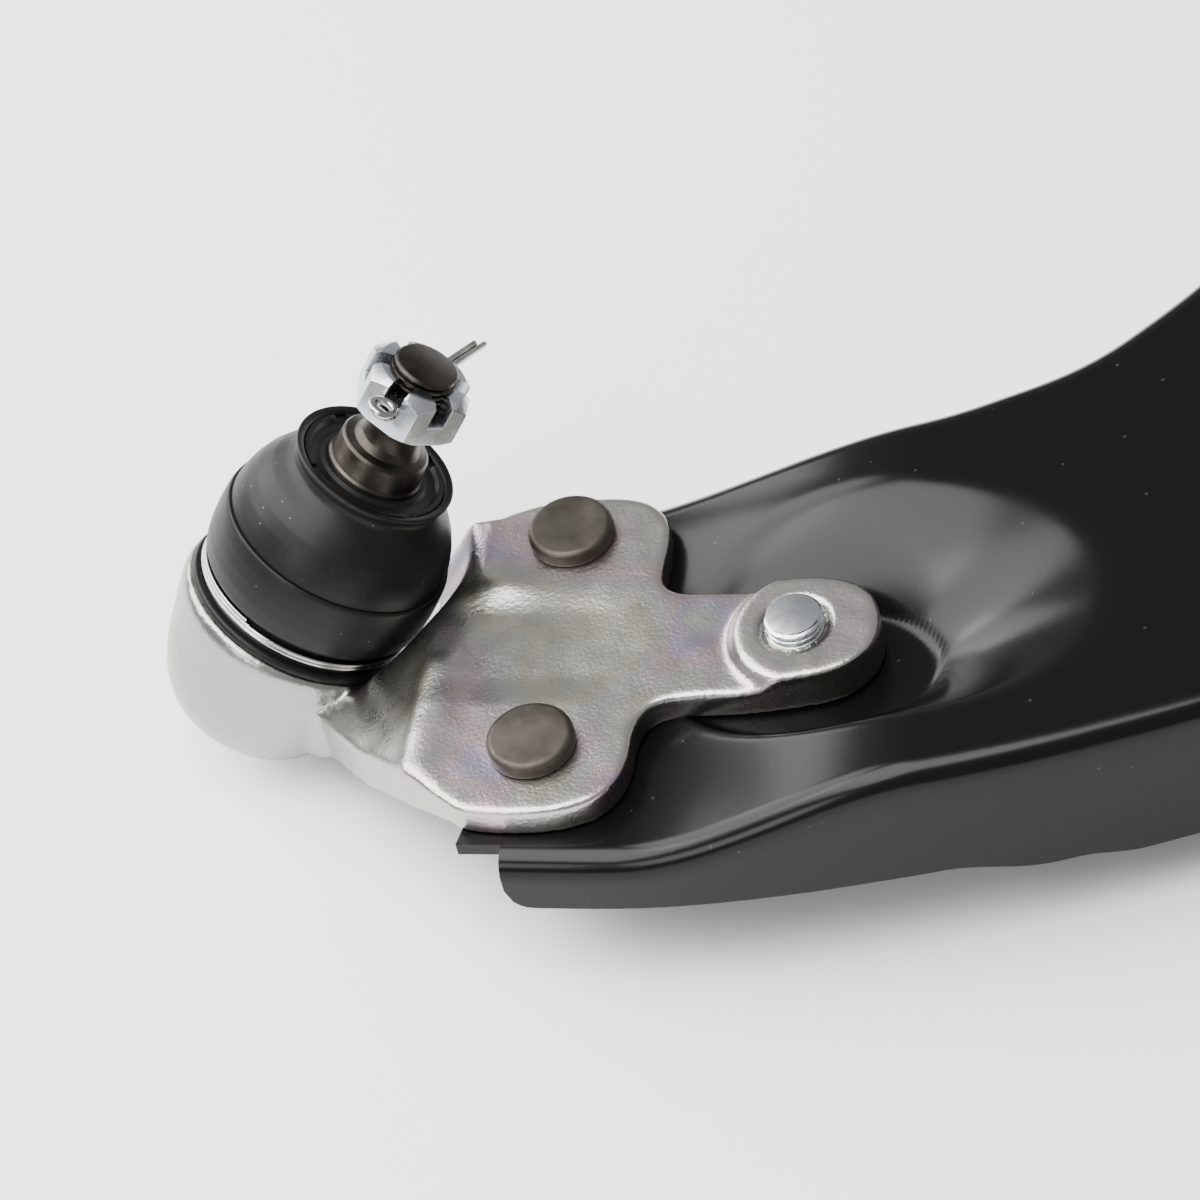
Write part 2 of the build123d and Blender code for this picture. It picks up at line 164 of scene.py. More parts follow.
def plated_forging():
    material, tree, shader, place = new_material("zinc_plated_forging")
    tint = add(tree, "ShaderNodeTexNoise", [("Vector", place)], Scale=24.0, Detail=3.0, Distortion=0.6)
    film = add(tree, "ShaderNodeValToRGB", [("Fac", tint.outputs["Fac"])],
               stops=[(0.36, "ACACA7"), (0.44, "B1ADA0"), (0.50, "ADADA9"),
                      (0.58, "B9A6A6"), (0.64, "A79FB3"), (0.70, "AEAEA9")])
    axes = add(tree, "ShaderNodeSeparateXYZ", [("Vector", place)])
    inboard = add(tree, "ShaderNodeMapRange", [("Value", axes.outputs["X"])],
                  From_Min=HOUSING_SIDE, From_Max=PLATE_SIDE)
    colour = add(tree, "ShaderNodeMix", [("Factor", inboard.outputs["Result"]), ("B", film.outputs["Color"])],
                 data_type="RGBA", A=linear("9C9C97"))
    tree.links.new(colour.outputs["Result"], shader.inputs["Base Color"])
    pebble = add(tree, "ShaderNodeTexNoise", [("Vector", place)], Scale=1250.0, Detail=2.0)
    swell = add(tree, "ShaderNodeTexNoise", [("Vector", place)], Scale=160.0, Detail=3.0)
    rough = add(tree, "ShaderNodeMapRange", [("Value", swell.outputs["Fac"])], To_Min=0.22, To_Max=0.36)
    tree.links.new(rough.outputs["Result"], shader.inputs["Roughness"])
    coarse = add(tree, "ShaderNodeBump", [("Height", swell.outputs["Fac"])], Strength=0.08, Distance=0.0005)
    fine = add(tree, "ShaderNodeBump",
               [("Height", pebble.outputs["Fac"]), ("Normal", coarse.outputs["Normal"])],
               Strength=0.42, Distance=0.0002)
    tree.links.new(fine.outputs["Normal"], shader.inputs["Normal"])
    shader.inputs["Metallic"].default_value = 1.0
    return material


# %% [markdown]
# ## Plain steels
# The other metals differ in colour, roughness and the size of their grain: phosphated rivets are
# matte brown-grey, the plated bolt and nut are bluish and bright, the stud is dark machined steel
# with a little rust bloom, and the spring wire is drawn and shiny.

# %% Steel finishes
def steel(name, dark, light, scale, rough, bump_mm):
    """Bare or plated steel: two shades, cloud scale, roughness from and to, and the grain's depth."""
    material, tree, shader, place = new_material(name)
    cloud = add(tree, "ShaderNodeTexNoise", [("Vector", place)], Scale=scale, Detail=5.0)
    colour = add(tree, "ShaderNodeValToRGB", [("Fac", cloud.outputs["Fac"])],
                 stops=[(0.35, dark), (0.65, light)])
    tree.links.new(colour.outputs["Color"], shader.inputs["Base Color"])
    grain = add(tree, "ShaderNodeTexNoise", [("Vector", place)], Scale=scale * 6, Detail=3.0)
    spread = add(tree, "ShaderNodeMapRange", [("Value", grain.outputs["Fac"])],
                 To_Min=rough[0], To_Max=rough[1])
    tree.links.new(spread.outputs["Result"], shader.inputs["Roughness"])
    bump = add(tree, "ShaderNodeBump", [("Height", grain.outputs["Fac"])],
               Strength=0.4, Distance=bump_mm * MM)
    tree.links.new(bump.outputs["Normal"], shader.inputs["Normal"])
    shader.inputs["Metallic"].default_value = 1.0
    return material


# %% [markdown]
# ## Rubber
# Chloroprene rubber is nearly black and dull, with a sheen from the mould. Pale specks of talc
# cling to the boot. The bushes' rubber and the hard plastics have the same make-up without talc.

# %% Moulded rubber and plastics
def rubber(name, dark, light, rough, specks=0.0):
    """Moulded rubber or plastic: two shades, its roughness, and how strongly the talc shows."""
    material, tree, shader, place = new_material(name)
    cloud = add(tree, "ShaderNodeTexNoise", [("Vector", place)], Scale=60.0, Detail=4.0)
    body = add(tree, "ShaderNodeValToRGB", [("Fac", cloud.outputs["Fac"])], stops=[(0.3, dark), (0.7, light)])
    talc = add(tree, "ShaderNodeTexVoronoi", [("Vector", place)], Scale=330.0)
    dot = add(tree, "ShaderNodeMapRange", [("Value", talc.outputs["Distance"])],
              From_Min=0.045, From_Max=0.07, To_Min=specks, To_Max=0.0)
    mixed = add(tree, "ShaderNodeMix", [("Factor", dot.outputs["Result"]), ("A", body.outputs["Color"])],
                data_type="RGBA", B=linear("6A6A68"))
    tree.links.new(mixed.outputs["Result"], shader.inputs["Base Color"])
    skin = add(tree, "ShaderNodeTexNoise", [("Vector", place)], Scale=1200.0, Detail=2.0)
    bump = add(tree, "ShaderNodeBump", [("Height", skin.outputs["Fac"])], Strength=0.25, Distance=0.0001)
    tree.links.new(bump.outputs["Normal"], shader.inputs["Normal"])
    shader.inputs["Roughness"].default_value = rough
    shader.inputs["Specular IOR Level"].default_value = 0.2
    return material


# %% Make every finish
PAINT = dip_paint()
FORGING = plated_forging()
RIVET = steel("phosphated_rivet_steel", "423E39", "55514B", 120.0, (0.44, 0.60), 0.08)
ZINC = steel("bright_zinc_plate", "ABB1B6", "C9CDD0", 90.0, (0.20, 0.34), 0.04)
WIRE = steel("drawn_spring_wire", "9C9C9A", "BEBEBC", 200.0, (0.16, 0.26), 0.02)
STUD_STEEL = steel("machined_stud_steel", "2F2C29", "4B4641", 110.0, (0.28, 0.46), 0.05)
BUSH_STEEL = steel("bush_tube_steel", "7C7C7A", "969693", 150.0, (0.34, 0.46), 0.05)
BOOT_RUBBER = rubber("boot_rubber", "0B0B0C", "141415", 0.42, specks=1.0)
BUSH_RUBBER = rubber("bush_rubber", "0D0D0E", "151515", 0.60)
RING_PLASTIC = rubber("retainer_plastic", "0C0C0D", "121213", 0.36)
RACE_PLASTIC = rubber("race_acetal", "D9D4C4", "E4E0D2", 0.40)
CAD_FINISH = {
    "arm_shell": PAINT, "arm_lower_plate": PAINT, "front_bush_tube": PAINT, "rear_bush_tube": PAINT,
    "ball_joint_bracket": FORGING, "housing_cap": FORGING, "rivet_front": RIVET, "rivet_rear": RIVET,
    "bracket_bolt": ZINC, "castle_nut": ZINC, "cotter_pin": WIRE, "boot_wire_ring": WIRE,
    "ball_stud": STUD_STEEL, "ball_race": RACE_PLASTIC, "boot_top_ring": RING_PLASTIC, "boot": BOOT_RUBBER,
    "front_bush_rubber": BUSH_RUBBER, "rear_bush_rubber": BUSH_RUBBER, "front_bush_can": BUSH_STEEL,
    "rear_bush_can": BUSH_STEEL, "front_bush_sleeve": BUSH_STEEL, "rear_bush_sleeve": BUSH_STEEL}
for node, material in CAD_FINISH.items():
    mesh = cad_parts[node].data
    mesh.materials.clear()
    mesh.materials.append(material)
print("finishes:", len(bpy.data.materials))


# %% [markdown]
# ## From bmesh to piece
# A piece is modelled upright in millimetres. This helper merges its doubles, points its faces
# outwards, moves it to its place, shades it smooth up to an angle, says which body carries it
# and hides the solids that it stands for.

# %% Finish a piece
def piece(name, bm, place, material, body, replaced, angle=35.0, outwards=True, rides=True, merge=1e-4):
    bmesh.ops.remove_doubles(bm, verts=bm.verts, dist=merge)
    if outwards:
        bmesh.ops.recalc_face_normals(bm, faces=bm.faces)
    bmesh.ops.transform(bm, matrix=place, verts=bm.verts)
    mesh = bpy.data.meshes.new(name)
    bm.to_mesh(mesh)
    bm.free()
    mesh.materials.append(material)
    mesh.shade_smooth()
    mesh.set_sharp_from_angle(angle=math.radians(angle))
    obj = bpy.data.objects.new(name, mesh)
    bpy.context.scene.collection.objects.link(obj)
    if rides:
        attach(obj, body)
    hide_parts(*replaced)
    print(f"{name}: {len(mesh.polygons)} faces")
    return obj


# %% [markdown]
# ## Turned pieces
# Anything turned or moulded round an axis is one outline spun through a full circle. The outline
# is a list of (radius, height) points; corners are softened first by cutting each one back, as a
# lathe tool's nose radius does.

# %% Spin an outline
ON_AXIS = 1e-6
MOST_CUT = 0.45  # of a side's length, so that two corners never meet


def rounded(points, radius, steps=3):
    """The closed outline with each corner off the axis replaced by a short curve."""
    out = []
    count = len(points)
    for i in range(count):
        before, here, after = (Vector(points[(i + k) % count]) for k in (-1, 0, 1))
        to_before, to_after = before - here, after - here
        if here.x < ON_AXIS:
            out.append(here)
            continue
        cut = min(radius, MOST_CUT * to_before.length, MOST_CUT * to_after.length)
        a, b = here + to_before.normalized() * cut, here + to_after.normalized() * cut
        for k in range(steps + 1):
            t = k / steps
            out.append(a * (1 - t) ** 2 + here * 2 * t * (1 - t) + b * t ** 2)
    return out


def spun(points, segments=96, radius=0.3, steps=3):
    """A bmesh made by spinning a closed outline about Z."""
    bm = bmesh.new()
    verts = [bm.verts.new((p.x, 0, p.y)) for p in rounded(points, radius, steps)]
    edges = [bm.edges.new((verts[i], verts[(i + 1) % len(verts)])) for i in range(len(verts))]
    edges = [e for e in edges if max(v.co.x for v in e.verts) > ON_AXIS]
    bmesh.ops.spin(bm, geom=verts + edges, cent=(0, 0, 0), axis=(0, 0, 1), angle=2 * math.pi,
                   steps=segments, use_merge=True)
    bmesh.ops.remove_doubles(bm, verts=bm.verts, dist=1e-4)
    return bm


# %% [markdown]
# ## Modifiers and copies
# Some pieces start from the solid itself, merged into one skin, so that a modifier can finish it:
# a voxel remesh turns a forging's hard corners into an even skin that can be smoothed, and a bevel
# gives machined edges the small break that catches the light. A boolean with a cutter cuts holes.

# %% Apply modifiers, copy a solid
def applied(bm, modifiers, cutters=()):
    """Puts a bmesh through modifiers, given as (type, settings), and boolean cutters, and returns it."""
    mesh = bpy.data.meshes.new("work")
    bm.to_mesh(mesh)
    bm.free()
    work = bpy.data.objects.new("work", mesh)
    bpy.context.scene.collection.objects.link(work)
    used = []
    for cutter, operation in cutters:
        cutter_mesh = bpy.data.meshes.new("cutter")
        cutter.to_mesh(cutter_mesh)
        cutter.free()
        tool = bpy.data.objects.new("cutter", cutter_mesh)
        bpy.context.scene.collection.objects.link(tool)
        cut = work.modifiers.new("cut", "BOOLEAN")
        cut.object, cut.operation, cut.solver = tool, operation, "EXACT"
        used.append(tool)
    for kind, settings in modifiers:
        modifier = work.modifiers.new(kind.lower(), kind)
        for key, value in settings.items():
            setattr(modifier, key, value)
    bpy.context.view_layer.update()
    done = bpy.data.meshes.new_from_object(work.evaluated_get(bpy.context.evaluated_depsgraph_get()))
    result = bmesh.new()
    result.from_mesh(done)
    for obj in [work] + used:
        data = obj.data
        bpy.data.objects.remove(obj)
        bpy.data.meshes.remove(data)
    bpy.data.meshes.remove(done)
    return result


def solid_copy(node):
    """The CAD solid as one merged bmesh, in metres in the row frame."""
    bm = bmesh.new()
    bm.from_mesh(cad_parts[node].data)
    bmesh.ops.remove_doubles(bm, verts=bm.verts, dist=2e-6)
    return bm


def broken_edges(node, material, body, width, name=None):
    """A solid with its flat faces joined up and its sharp edges bevelled by a width in millimetres."""
    bm = solid_copy(node)
    bmesh.ops.dissolve_limit(bm, angle_limit=math.radians(1.0), verts=bm.verts, edges=bm.edges)
    bm = applied(bm, [("BEVEL", {"width": width * MM, "segments": 3, "limit_method": "ANGLE",
                                 "angle_limit": math.radians(38.0), "use_clamp_overlap": True})])
    return piece(name or node + "_finished", bm, Matrix.Identity(4), material, body, [node],
                 outwards=False, merge=1e-7)


# %% [markdown]
# ## The pressing
# The arm is one sheet of three-millimetre steel, drawn in a die: a flat pad for the bracket, a
# dish that runs up from the pad to the raised web, and side flanges turned down round a
# five-millimetre bend. A grid is the natural start, because a pressing is a grid that the die
# moved: each of its points goes to a place between the front and rear edges, then up to the
# height of the die there. The front, rear and inboard edges are smooth curves through a few points.

# %% Edge curves of the pressing
def curve_through(points, count):
    """Evenly spaced points on a smooth curve through the given ones (Catmull-Rom)."""
    pts = [Vector(p) for p in points]
    pts = [pts[0] * 2 - pts[1]] + pts + [pts[-1] * 2 - pts[-2]]
    dense = []
    for i in range(1, len(pts) - 2):
        p0, p1, p2, p3 = pts[i - 1:i + 3]
        for k in range(40):
            t = k / 40
            dense.append(0.5 * (2 * p1 + (p2 - p0) * t + (2 * p0 - 5 * p1 + 4 * p2 - p3) * t * t
                                + (3 * p1 - p0 - 3 * p2 + p3) * t ** 3))
    dense.append(pts[-2])
    lengths = [0.0]
    for a, b in zip(dense, dense[1:]):
        lengths.append(lengths[-1] + (b - a).length)
    out, j = [], 0
    for i in range(count + 1):
        goal = lengths[-1] * i / count
        while j < len(lengths) - 2 and lengths[j + 1] < goal:
            j += 1
        span = max(lengths[j + 1] - lengths[j], 1e-9)
        out.append(dense[j].lerp(dense[j + 1], (goal - lengths[j]) / span))
    return out


ALONG, ACROSS = 240, 124  # grid columns outboard to inboard, rows front to rear
front_edge = curve_through([(-315, -17.6), (-276, -32.5), (-234, -41.5), (-190, -46),
                            (-140, -45), (-80, -33), (-8, -21)], ALONG)
rear_edge = curve_through([(-268, 66), (-212, 54.5), (-182, 53), (-152, 59.5),
                           (-112, 86), (-75, 140), (-46, 210), (-22, 280)], ALONG)
inboard_edge = curve_through([(-8, -21), (-8, 21), (-10, 90), (-2, 180), (12, 262), (-22, 280)], ACROSS)


def side_normals(edge, turn):
    """The outward direction along an edge; turn is +1 where outward is to the right of travel."""
    out = []
    for i in range(len(edge)):
        along = (edge[min(i + 1, len(edge) - 1)] - edge[max(i - 1, 0)]).normalized()
        out.append(Vector((along.y, -along.x)) * turn)
    return out


front_out, rear_out = side_normals(front_edge, 1), side_normals(rear_edge, -1)
inboard_out = side_normals(inboard_edge, 1)
print("arm", round(inboard_edge[0].x - front_edge[0].x), "mm long,",
      round(rear_edge[-1].y - front_edge[-1].y), "mm wide inboard")

# %% [markdown]
# The die is a height over the plan. The pad under the bracket is flat at zero, two rails rise
# beside the bracket's tail to the raised web, and between them lies the dish: flat inside a small
# ellipse round the bolt, up at the rails' height outside a larger one, and an even slope between.

# %% Shape of the die
PRESSING_TOP = 15.5
RAIL_FROM, RAIL_LENGTH = 25.0, 62.0  # where the front rail starts to rise along the tail
REAR_SOONER, REAR_LONGER = 17.0, 10.0  # the rear rail starts sooner and takes longer
DISH_FLOOR = (BOLT_ALONG, -5.0, 27.0, 17.0)  # centre along and across the tail, then half sizes
DISH_RIM = (76.0, 3.5, 51.0, 35.0)


def smooth(t):
    """Goes from 0 to 1 along an S-curve."""
    t = min(max(t, 0.0), 1.0)
    return t * t * (3 - 2 * t)


def eased(t, soft=0.12):
    """Goes from 0 to 1 in a straight line with a short curve at each end."""
    t = min(max(t, 0.0), 1.0)
    steep = 1 / (1 - soft)
    if t < soft:
        return steep * t * t / (2 * soft)
    if t > 1 - soft:
        return 1 - steep * (1 - t) ** 2 / (2 * soft)
    return steep * (t - soft / 2)


def in_bracket(x, y):
    """Row millimetres as (along the tail, across it)."""
    c, s = math.cos(math.radians(20)), math.sin(math.radians(20))
    return (x + 290) * c - (y - 30) * s, (x + 290) * s + (y - 30) * c


def in_ellipse(u, v, ellipse):
    """Distance from an ellipse's centre, scaled so that its outline is at 1."""
    centre_u, centre_v, half_u, half_v = ellipse
    return math.hypot((u - centre_u) / half_u, (v - centre_v) / half_v)


def die_height(x, y):
    """Height of the die: flat pad, rising rails, and the dish round and beyond the bracket's tail."""
    u, v = in_bracket(x, y)
    rear = smooth((v - 10) / 30)
    rail = PRESSING_TOP * smooth((u - RAIL_FROM + REAR_SOONER * rear) / (RAIL_LENGTH + REAR_LONGER * rear))
    beyond_floor = in_ellipse(u, v, DISH_FLOOR) - 1
    within_rim = 1 - in_ellipse(u, v, DISH_RIM)
    if beyond_floor <= 0 or within_rim <= 0:
        return 0.0 if beyond_floor <= 0 else rail
    return rail * eased(beyond_floor / (beyond_floor + within_rim))


print("die height at the bolt and on the web:", die_height(-236, 10), die_height(-120, 20), "mm")

# %% [markdown]
# Extra rows at the sides go round the bend and down the flange, which is short beside the bracket
# and deeper inboard, and is cut off with a round corner where the pad begins. The sheet then gets
# its thickness, and two cylinders cut the seats of the bush tubes.

# %% Press the grid
SHEET, BEND = 3.0, 5.0
BEND_ROWS, FLANGE_ROWS = 6, 5
INBOARD_SHAPE = 4  # power with which the inboard edge's own curve fades in along the arm
FLANGE_FROM, FLANGE_CORNER = 2.0, 5.0  # where the flanges start along the tail, and their corner
FLANGE_LOW, FLANGE_STEPS = -13.5, ((4.2, -222, 22), (2.3, -196, 14))  # drop, from x, over length
FRONT_SEAT, REAR_SEAT = 24.0, 33.0  # radii that the bush tubes sit in


def flange_end(x):
    """Lower edge of the flange: short beside the bracket, deeper in two steps inboard."""
    (drop, start, length), (more, further, over) = FLANGE_STEPS
    return FLANGE_LOW - drop * smooth((x - start) / length) - more * smooth((x - further) / over)


def pressed(i, j):
    """Place of the grid's point in column i (outboard to inboard) and row j (front to rear)."""
    extra = BEND_ROWS + FLANGE_ROWS
    row = min(max(j - extra, 0), ACROSS)
    s, t = row / ACROSS, min(i, ALONG) / ALONG
    col = min(i, ALONG)
    front = front_edge[col] - front_out[col] * BEND
    rear = rear_edge[col] - rear_out[col] * BEND
    end = inboard_edge[row] - inboard_out[row] * BEND
    place = front.lerp(rear, s)
    chord = (front_edge[-1] - front_out[-1] * BEND).lerp(rear_edge[-1] - rear_out[-1] * BEND, s)
    place = place + (end - chord) * t ** INBOARD_SHAPE
    out, step = None, 0
    if j < extra:
        out, step = front_out[col], extra - j
    elif j > extra + ACROSS:
        out, step = rear_out[col], j - extra - ACROSS
    elif i > ALONG:
        out, step = inboard_out[row], i - ALONG
    z = die_height(place.x, place.y)
    if out is not None:
        bend = min(step, BEND_ROWS) / BEND_ROWS * math.pi / 2
        place = place + out * BEND * math.sin(bend)
        low = flange_end(place.x)
        along = in_bracket(place.x, place.y)[0] - FLANGE_FROM
        if along < FLANGE_CORNER:
            low += FLANGE_CORNER - math.sqrt(max(FLANGE_CORNER ** 2 - (FLANGE_CORNER - along) ** 2, 0.0))
        z -= BEND * (1 - math.cos(bend))
        if step > BEND_ROWS:
            z += (low - z) * (step - BEND_ROWS) / FLANGE_ROWS
    return Vector((place.x, place.y, z))


def arm_pressing():
    extra = BEND_ROWS + FLANGE_ROWS
    columns, rows = ALONG + extra, ACROSS + 2 * extra
    bm = bmesh.new()
    bmesh.ops.create_grid(bm, x_segments=columns, y_segments=rows, size=1.0)
    index = {}
    for v in bm.verts:
        index[v] = (round((v.co.x + 1) / 2 * columns), round((v.co.y + 1) / 2 * rows))
    gone = []
    for f in bm.faces:
        i = sum(index[v][0] for v in f.verts) / 4
        j = sum(index[v][1] for v in f.verts) / 4
        outside = j < extra or j > extra + ACROSS
        if outside and i > ALONG:
            gone.append(f)
        elif outside and in_bracket(*pressed(round(i), round(j)).xy)[0] < FLANGE_FROM:
            gone.append(f)
    for v in bm.verts:
        v.co = pressed(*index[v])
    bmesh.ops.delete(bm, geom=gone, context="FACES")
    if sum(f.normal.z for f in bm.faces) < 0:
        bmesh.ops.reverse_faces(bm, faces=bm.faces)
    bm.normal_update()
    cutters = []
    for place, radius in ((FRONT_BUSH, FRONT_SEAT), (REAR_BUSH, REAR_SEAT)):
        tool = bmesh.new()
        bmesh.ops.create_cone(tool, cap_ends=True, segments=96, radius1=radius, radius2=radius, depth=120)
        bmesh.ops.transform(tool, matrix=Matrix.Scale(1000, 4) @ place, verts=tool.verts)
        cutters.append((tool, "DIFFERENCE"))
    bm = applied(bm, [("SOLIDIFY", {"thickness": SHEET, "offset": -1.0, "use_even_offset": True})])
    return applied(bm, [], cutters)


piece("arm_pressing", arm_pressing(), ROW, PAINT, "arm", ["arm_shell"], angle=50, outwards=False)


# %% [markdown]
# ## The forged bracket
# A forging has no sharp corners: metal flowed into every radius of the die. The solid has the right
# size with hard corners, so its copy is remeshed in cells of 0.6 mm and relaxed, most of all in
# height where the plate runs up to the neck. Then its own features are pushed in: the low ridge
# beside the boot, where two slopes meet, the gentle hollow between the rivets, the swelling beside
# the rear one, the face turned down round the bolt, and the slight waviness of forged metal.

# %% Forge the bracket
CELL = 0.6 * MM
SMOOTHING_ROUNDS = 9
NECK_ROUNDS = ((70, -4.0, 34.0), (14, -45.0, 34.0))  # rounds, then from and to across the bracket
RIDGE_LIFT, HOLLOW_DEPTH, SWELLING_LIFT, RECESS_DEPTH, WAVINESS = 0.7, 0.9, 0.9, 0.9, 0.12


def bracket_lift(u, w, z):
    """How far the forging's upper face is raised, by its place along and across the bracket."""
    ridge = math.exp(-((u + 15) / 4.0) ** 2) * smooth((4 - w) / 10) * smooth((w + 42) / 10)
    hollow = smooth((28 - abs(u - 2)) / 22) * smooth((17 - abs(w + 1)) / 9)
    swelling = math.exp(-(math.hypot(u + 5.5, w - 16.0) / 4.5) ** 2)
    recess = smooth((8.2 - math.hypot(u - BOLT_ALONG, w)) / 1.6)
    return (RIDGE_LIFT * ridge + SWELLING_LIFT * swelling - HOLLOW_DEPTH * hollow - RECESS_DEPTH * recess
            + WAVINESS * noise.noise(Vector((u, w, z)) * 0.16))


def forged_bracket():
    bm = applied(solid_copy("ball_joint_bracket"), [("REMESH", {"mode": "VOXEL", "voxel_size": CELL})])
    for _ in range(SMOOTHING_ROUNDS):
        bmesh.ops.smooth_vert(bm, verts=bm.verts, factor=0.5,
                              use_axis_x=True, use_axis_y=True, use_axis_z=True)
    bmesh.ops.transform(bm, matrix=BRACKET.inverted(), verts=bm.verts)
    for rounds, low, high in NECK_ROUNDS:
        near = [v for v in bm.verts if -30 < v.co.x < -11 and low < v.co.y < high and v.co.z > -8]
        for _ in range(rounds):
            bmesh.ops.smooth_vert(bm, verts=near, factor=0.5,
                                  use_axis_x=False, use_axis_y=False, use_axis_z=True)
    bm.normal_update()
    for v in bm.verts:
        if v.normal.z >= 0.2 and v.co.z >= -14:
            v.co.z += bracket_lift(*v.co) * min(1.0, (v.normal.z - 0.2) / 0.4)
    return bm


piece("forged_bracket", forged_bracket(), BRACKET, FORGING, "arm", ["ball_joint_bracket"],
      angle=60, outwards=False)

# %% [markdown]
# ## The rubber boot
# The boot is a moulded bellows with one ridge. Its skirt is clamped to the housing by the wire
# ring, and its crown is clamped to the stud. It is made as two turned pieces that meet at the
# ridge.

# %% Boot
RIDGE = 34.2  # heights are from the ball's centre
skirt_outline = [
    (20.0, 13.5), (24.6, 13.5), (24.75, 14.4), (24.4, 15.2), (22.7, 15.5), (22.6, 19.2), (23.6, 19.9),
    (24.5, 21.2), (25.0, 24.5), (25.15, 28.0), (25.1, 31.0), (24.9, 33.4), (24.6, RIDGE), (22.2, RIDGE),
    (22.6, 30.0), (22.4, 23.0), (20.0, 19.5)]
crown_outline = [
    (22.2, RIDGE), (24.15, RIDGE), (24.05, 35.0), (23.75, 37.0), (23.0, 39.8), (21.7, 42.8), (19.7, 45.8),
    (17.6, 48.0), (16.4, 49.6), (16.2, 50.6), (16.5, 51.6), (17.3, 52.9), (17.45, 53.5), (17.2, 53.8),
    (16.1, 53.6), (15.45, 52.9), (15.4, 50.6), (10.5, 50.6), (10.5, 48.4), (14.6, 48.0), (17.6, 45.6),
    (19.7, 42.3), (21.1, 38.4)]
skirt = piece("boot_skirt_rubber", spun(skirt_outline, 144, 0.5), STUD, BOOT_RUBBER, "arm", ["boot"],
              angle=40, rides=False)
crown = piece("boot_crown_rubber", spun(crown_outline, 144, 0.6), STUD, BOOT_RUBBER, "arm", ["boot"],
              angle=40, rides=False)
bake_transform(skirt)
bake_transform(crown)

# %% [markdown]
# The wire ring is one length of spring wire wound two and a bit times round the skirt. A small
# circle spun with a rise per turn makes it, and its two ends are closed flat. A plastic retainer
# at the crown's top is the solid's own shape with its edges broken.

# %% Wire ring and retainer
def wire_ring(radius, wire, low, turns, pitch):
    """A coil of wire: its radius, the wire's radius, where it starts, how many turns, rise per turn."""
    bm = bmesh.new()
    made = bmesh.ops.create_circle(bm, cap_ends=False, segments=14, radius=wire)
    bmesh.ops.rotate(bm, verts=bm.verts, cent=(0, 0, 0), matrix=Matrix.Rotation(math.radians(90), 3, "X"))
    bmesh.ops.translate(bm, verts=bm.verts, vec=(radius, 0, low))
    steps = round(turns * 120)
    bmesh.ops.spin(bm, geom=made["verts"] + list(bm.edges), cent=(0, 0, 0), axis=(0, 0, 1),
                   dvec=(0, 0, turns * pitch / steps), angle=turns * 2 * math.pi, steps=steps,
                   use_merge=False)
    ends = [e for e in bm.edges if e.is_boundary]
    bmesh.ops.holes_fill(bm, edges=ends, sides=20)
    bmesh.ops.rotate(bm, verts=bm.verts, cent=(0, 0, 0), matrix=Matrix.Rotation(math.radians(150), 3, "Z"))
    return bm


piece("boot_wire", wire_ring(23.45, 0.45, 16.9, 2.2, 0.9), STUD, WIRE, "arm", ["boot_wire_ring"])
broken_edges("boot_top_ring", RING_PLASTIC, "boot_collar", 0.18, "boot_retainer")

# %% [markdown]
# ## Threads
# A screw thread is a cylinder whose radius falls and rises once per pitch while it winds round, so
# the turned blank gets ten rows for each pitch and every row is moved by where it lies on the
# helix. The crests are flattened, as rolled threads are.

# %% Cut a thread
THREAD_PITCH, THREAD_DEPTH, THREAD_ROW = 1.5, 0.8, 0.15


def threaded(bm, radius, low, high):
    """Cuts a thread into a turned blank of this radius between two heights."""
    for v in bm.verts:
        r = math.hypot(v.co.x, v.co.y)
        if r > radius - 0.05 and low < v.co.z < high:
            phase = (v.co.z / THREAD_PITCH - math.atan2(v.co.y, v.co.x) / (2 * math.pi)) % 1.0
            fade = smooth(min(v.co.z - low, high - v.co.z) / (THREAD_PITCH * 0.6))
            cut = THREAD_DEPTH * fade * (1 - smooth(abs(phase - 0.5) * 3.4 - 0.25))
            v.co.x *= (r - cut) / r
            v.co.y *= (r - cut) / r
    return bm


def rows_between(radius, low, high):
    """Outline points up a cylinder, close enough together to carry a thread."""
    count = round((high - low) / THREAD_ROW)
    return [(radius, low + (high - low) * i / count) for i in range(count + 1)]


# %% [markdown]
# ## The ball stud
# The stud is turned from one bar: the ball in its housing, a neck, the cone that a knuckle is
# pulled onto, and a threaded end. A cross hole through the thread takes the cotter pin. Its
# direction is a place of its own, because the pin is laid along it too.

# %% Stud with its thread
STUD_THREAD, PIN_HEIGHT, PIN_TURN, PIN_HOLE = 7.0, 75.4, 226, 1.8
BALL_RADIUS = 13.0
PIN_PLACE = Matrix.Translation((0, 0, PIN_HEIGHT)) @ Matrix.Rotation(
    math.radians(PIN_TURN), 4, "Z") @ Matrix.Rotation(math.radians(90), 4, "Y")
ball_arc = [(BALL_RADIUS * math.cos(math.radians(a)), BALL_RADIUS * math.sin(math.radians(a)))
            for a in range(-46, 54, 4)]
stud_outline = ([(0, -9.5), (8.9, -9.5)] + ball_arc
                + [(7.5, 11.6), (7.5, 37.5), (10.4, 45.0), (10.4, 53.6), (9.85, 54.0), (9.5, 58.8),
                   (9.0, 59.4), (7.3, 59.8), (6.3, 61.4), (6.1, 63.2), (6.1, 65.6)]
                + rows_between(STUD_THREAD, 66.4, 80.4) + [(6.4, 81.0), (0, 81.0)])
stud_bm = threaded(spun(stud_outline, 108, 0.02, 1), STUD_THREAD, 66.2, 81.2)
hole = bmesh.new()
bmesh.ops.create_cone(hole, cap_ends=True, segments=32, radius1=PIN_HOLE, radius2=PIN_HOLE, depth=40)
